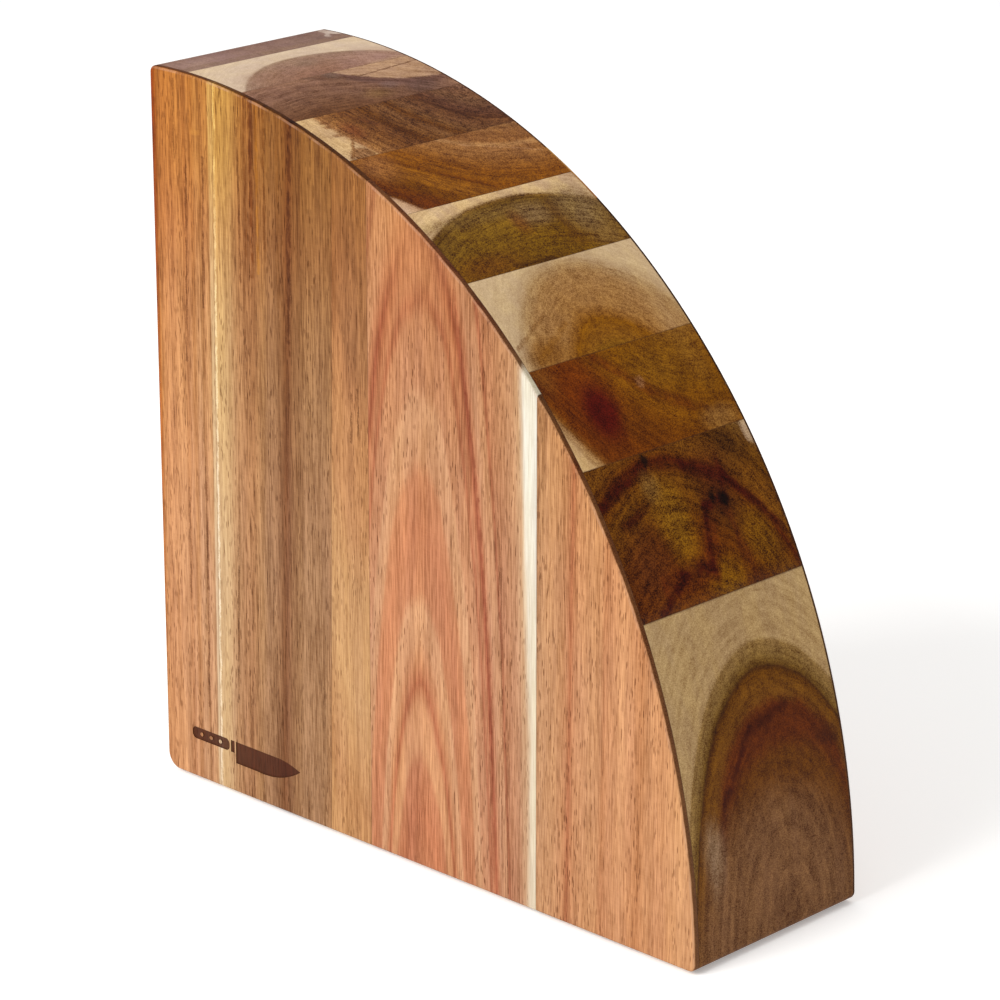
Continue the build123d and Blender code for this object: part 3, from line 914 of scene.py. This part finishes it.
def front_skin_3():
    """Tan, turning brown towards the top in a downward flame."""
    rings = {14: (150, 106, 76), 20: (149, 106, 75), 25: (149, 103, 70), 26.6: (157, 108, 73),
             28: (167, 117, 78), 32: (169, 120, 79), 34.5: (178, 132, 87), 39: (181, 136, 91),
             42: (176, 128, 84), 44: (171, 121, 78), 47: (175, 127, 82)}
    streak = (92, 52, 24)
    figure = [
        ("line", (99.8, 148), (100.2, 166), 0.6, streak, 0.7),
        ("line", (103.6, 150), (103.0, 168), 0.6, streak, 0.7),
        ("line", (89.8, 150), (91.0, 240), 1.6, (118, 76, 44), 0.5),
        ("line", (101.5, 206), (101.8, 222), 0.6, streak, 0.5),
        ("line", (105.2, 196), (105.6, 226), 0.6, streak, 0.4),
    ]
    return flat_sawn_wood("front", 3, (106, -HALF_THICKNESS + 45.2), -0.12, rings, figure=figure)


def white_strip(g, place, colour):
    """A bright strip of sapwood along the right joint, narrower towards the foot."""
    x, _, z = g.parts(place)
    drift = g.math("MULTIPLY", g.math("MAXIMUM", g.math("SUBTRACT", z, 60.0), 0.0), 0.035)
    edge = g.math("SUBTRACT", 184.4, drift)
    sway = g.math("SUBTRACT", g.noise(place, (0.3, 0.3, 0.02)), 0.5)
    past = g.math("SUBTRACT", x, g.math("MULTIPLY_ADD", sway, 2.4, edge))
    cream = g.mix(g.ease(past, -4.5, 0.5), colour, tone(186, 148, 110))
    white = g.mix(g.ease(z, 60.0, 180.0), tone(202, 184, 156), tone(214, 208, 196))
    return g.mix(g.ease(past, -1.6, 1.8), cream, white)


def front_skin_4():
    """Salmon-pink nested arches, red lines down the right, and a white strip of sapwood."""
    rings = {11: (170, 108, 74), 14: (168, 103, 70), 16: (172, 110, 76), 16.8: (187, 132, 92),
             18.3: (184, 128, 88), 19.2: (160, 94, 62), 20.2: (176, 118, 80), 21.2: (180, 128, 90),
             22.6: (187, 135, 96), 23.4: (175, 114, 78), 26: (172, 109, 74), 28.2: (176, 116, 80),
             29: (178, 127, 91), 30.5: (180, 131, 95), 31.2: (184, 135, 99), 32: (174, 121, 87),
             34.6: (172, 118, 84), 35.4: (156, 94, 64), 36.3: (170, 112, 78), 37.2: (160, 98, 66),
             38.0: (144, 78, 52), 38.9: (166, 106, 74), 40.5: (174, 124, 91), 43: (170, 120, 86),
             43.9: (148, 88, 60), 44.8: (164, 110, 78), 50: (171, 122, 88), 54: (178, 132, 98)}
    pores = {11: 180, 16: 120, 20: 140, 21.5: 240, 22.8: 240, 23.6: 90, 28: 90, 29: 250, 34.5: 250,
             35.5: 120, 39: 150, 41: 235, 54: 235}
    red = (130, 62, 40)
    figure = [
        ("line", (167.5, 0), (166.5, 60), 1.3, red, 0.5),
        ("line", (166.5, 60), (164.3, 100), 1.3, red, 0.55),
        ("line", (164.3, 100), (160.6, 142), 1.2, red, 0.6),
        ("line", (160.6, 142), (155.0, 178), 1.1, red, 0.6),
        ("line", (155.0, 178), (149.5, 212), 1.0, red, 0.5),
        ("spot", (127, 234), (22, 24), 0.9, (192, 138, 98), 0.55),
        ("line", (172.0, 40), (171.2, 120), 0.6, (118, 70, 44), 0.6),
        ("line", (171.2, 120), (165.4, 205), 0.6, (118, 70, 44), 0.5),
    ]
    # This stave takes the painted crest shade at 0.6 of its full strength
    return flat_sawn_wood("front", 4, (133.2, -HALF_THICKNESS + 11.25), 0.1164, rings, marks=0.75, pores=pores,
                          figure=figure, overlay=white_strip, deepening=0.6)


def front_skin_5():
    """Salmon-orange with one reddish line."""
    tones = {184: (158, 114, 80), 187.5: (166, 120, 84), 189: (177, 129, 91), 195: (176, 126, 87),
             198: (175, 122, 83), 200: (168, 112, 75), 201.4: (158, 96, 62), 203: (168, 112, 75),
             205: (179, 125, 86), 211: (178, 126, 86), 215: (177, 124, 84), 217: (170, 113, 74),
             219: (177, 121, 81), 225: (188, 133, 91), 229: (180, 124, 83), 233: (169, 112, 72),
             237: (180, 125, 84), 243: (183, 127, 85), 252: (192, 138, 93)}
    return straight_wood("front", 5, 0.020, tones, pores=0.85)


def back_skin_1():
    """Warm brown, darkening towards its joint."""
    tones = {0: (170, 114, 74), 8: (178, 124, 82), 14: (163, 110, 72), 18: (170, 117, 77),
             26: (156, 106, 70), 30: (138, 88, 58), 33: (158, 108, 72), 40: (150, 100, 66),
             46: (143, 94, 60)}
    return straight_wood("back", 1, -0.012, tones, rim=0.30)


def back_skin_2():
    """Nested arches in tan and salmon."""
    rings = {9: (182, 126, 86), 14: (188, 134, 92), 17: (176, 115, 76), 20: (184, 130, 88),
             24: (171, 110, 72), 25: (158, 92, 58), 26.5: (180, 126, 84), 31: (174, 118, 78),
             34: (160, 98, 64), 38: (177, 124, 82)}
    return flat_sawn_wood("back", 2, (79, HALF_THICKNESS - 9.0), -0.10, rings, rim=0.24)


def back_skin_3():
    """A narrow stave of pale sapwood, tan at its right."""
    tones = {112: (206, 186, 152), 118: (212, 188, 150), 126: (208, 180, 140), 131: (198, 162, 120),
             134: (186, 144, 100), 139: (180, 136, 92)}
    return straight_wood("back", 3, 0.004, tones, rim=0.9)


def back_skin_4():
    """Brown heartwood with leaning arches."""
    rings = {10: (156, 104, 68), 15: (162, 110, 72), 19: (143, 92, 60), 23: (157, 105, 69),
             27: (132, 82, 52), 29: (152, 100, 66), 36: (160, 108, 71), 42: (140, 88, 56),
             50: (155, 104, 68)}
    return flat_sawn_wood("back", 4, (168, HALF_THICKNESS - 10.0), -0.13, rings, rim=0.14)


def back_skin_5():
    """Salmon-orange, close-grained, with a pale line beside its joint."""
    tones = {194: (196, 158, 116), 197: (190, 148, 104), 199: (178, 124, 82), 206: (184, 130, 88),
             216: (172, 112, 74), 224: (183, 128, 86), 231: (174, 116, 76), 240: (187, 133, 90),
             246: (174, 118, 78), 256: (184, 130, 88)}
    return straight_wood("back", 5, 0.018, tones, rim=0.14)


# ---------------------------------------------------------------- metal and rubber

def nickel_plate():
    """Satin nickel with faint blotches, for the magnets."""
    material, g = new_material("nickel-plated magnet")
    blotch = g.noise(g.use(PLACE)["Place"], (0.4, 0.4, 0.4), detail=3.0)
    g.feed(g.shader.inputs["Base Color"], g.mix(blotch, tone(196, 192, 184), tone(220, 217, 210)))
    g.feed(g.shader.inputs["Roughness"], g.ease(blotch, 0.3, 0.7, 0.22, 0.36))
    g.shader.inputs["Metallic"].default_value = 1.0
    return material


def rolled_steel():
    """Cold-rolled strip, brushed along its length, for the keepers."""
    material, g = new_material("rolled steel strip")
    brushed = g.noise(g.use(PLACE)["Place"], (0.08, 3.0, 6.0), detail=3.0)
    g.feed(g.shader.inputs["Base Color"], g.mix(brushed, tone(136, 138, 140), tone(172, 174, 176)))
    g.feed(g.shader.inputs["Roughness"], g.ease(brushed, 0.3, 0.7, 0.34, 0.5))
    g.shader.inputs["Metallic"].default_value = 1.0
    return material


def foot_rubber():
    """Dark rubber with a fine moulded grain."""
    material, g = new_material("foot rubber")
    grain = g.noise(g.use(PLACE)["Place"], (4.0, 4.0, 4.0), detail=3.0)
    g.feed(g.shader.inputs["Base Color"], g.mix(grain, tone(34, 33, 32), tone(58, 56, 54)))
    g.feed(g.shader.inputs["Roughness"], g.ease(grain, 0.3, 0.7, 0.7, 0.9))
    g.relief(grain, 0.05 * MM)
    return material


# ---------------------------------------------------------------- pieces

def smooth_piece(node, material):
    """A finely shaded copy of a CAD piece: its triangles welded, its curves smooth and its flats flat."""
    mesh = bpy.data.meshes.new(node + "_finished")
    bm = bmesh.new()
    bm.from_mesh(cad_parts[node].data)
    bmesh.ops.remove_doubles(bm, verts=bm.verts, dist=0.001 * MM)
    bmesh.ops.dissolve_limit(bm, angle_limit=radians(0.02), verts=bm.verts, edges=bm.edges)
    for edge in bm.edges:
        edge.smooth = len(edge.link_faces) == 2 and edge.calc_face_angle() < SHARP_CORNER
    for face in bm.faces:
        face.smooth = True
        face.material_index = 0
    bm.to_mesh(mesh)
    bm.free()
    mesh.materials.append(material)
    piece = bpy.data.objects.new(node + "_finished", mesh)
    bpy.context.scene.collection.objects.link(piece)
    piece.modifiers.new("even shading", "WEIGHTED_NORMAL").keep_sharp = True
    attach(piece, "root")
    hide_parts(node)


def dress(piece, material):
    """Gives a CAD piece a better material and leaves its shape alone."""
    for slot in piece.material_slots:
        slot.material = material


def make_pieces():
    """The core staves, the skins on both sides, the metal inside and the feet."""
    for number, wood in enumerate(core_woods(), 1):
        smooth_piece(f"core_stave_{number:02d}", wood)
    fronts = (front_skin_1, front_skin_2, front_skin_3, front_skin_4, front_skin_5)
    backs = (back_skin_1, back_skin_2, back_skin_3, back_skin_4, back_skin_5)
    for number, (front, back) in enumerate(zip(fronts, backs), 1):
        smooth_piece(f"front_skin_stave_{number}", front())
        smooth_piece(f"back_skin_stave_{number}", back())
    nickel, steel, rubber = nickel_plate(), rolled_steel(), foot_rubber()
    for name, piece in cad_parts.items():
        if "magnet" in name:
            dress(piece, nickel)
        elif "keeper" in name:
            dress(piece, steel)
        elif name.startswith("foot"):
            smooth_piece(name, rubber)


# ---------------------------------------------------------------- studio

def make_floor():
    """A plain pale floor that glows a little, so that it stays white round the block."""
    bm = bmesh.new()
    bmesh.ops.create_grid(bm, x_segments=1, y_segments=1, size=FLOOR_REACH)
    mesh = bpy.data.meshes.new("studio_floor")
    bm.to_mesh(mesh)
    bm.free()
    material, g = new_material("pale floor")
    g.shader.inputs["Base Color"].default_value = tone(244, 243, 241)
    g.shader.inputs["Roughness"].default_value = 0.8
    g.shader.inputs["Specular IOR Level"].default_value = 0.1
    g.shader.inputs["Emission Color"].default_value = tone(255, 255, 255)
    g.shader.inputs["Emission Strength"].default_value = FLOOR_GLOW
    mesh.materials.append(material)
    floor = bpy.data.objects.new("studio_floor", mesh)
    bpy.context.scene.collection.objects.link(floor)


def softbox(name, place, size, power):
    """A square area light that faces the middle of the block."""
    data = bpy.data.lights.new(name, "AREA")
    data.shape = "SQUARE"
    data.size = size
    data.energy = power
    light = bpy.data.objects.new(name, data)
    bpy.context.scene.collection.objects.link(light)
    light.location = place
    light.rotation_euler = (LIT_POINT - Vector(place)).to_track_quat("-Z", "Y").to_euler()


def make_studio():
    """The floor, a large softbox in front, a weaker one overhead and an even white surround."""
    make_floor()
    softbox("key softbox", **KEY_SOFTBOX)
    softbox("top softbox", **TOP_SOFTBOX)
    world = bpy.data.worlds.new("studio surround")
    world.use_nodes = True
    background = world.node_tree.nodes["Background"].inputs
    background["Color"].default_value = (1.0, 1.0, 1.0, 1.0)
    background["Strength"].default_value = SURROUND_GLOW
    bpy.context.scene.world = world
    bpy.context.scene.view_settings.view_transform = "Standard"


def make_camera():
    """Looks down on the near face and the curved rim, from the right."""
    data = bpy.data.cameras.new("camera")
    data.lens = CAMERA_LENS
    data.sensor_width = CAMERA_FILM
    data.clip_end = CAMERA_REACH
    camera = bpy.data.objects.new("camera", data)
    bpy.context.scene.collection.objects.link(camera)
    camera.location = CAMERA_PLACE
    camera.rotation_euler = (radians(90 - CAMERA_DROP), 0.0, radians(CAMERA_TURN))
    bpy.context.scene.camera = camera


make_pieces()
make_studio()
make_camera()
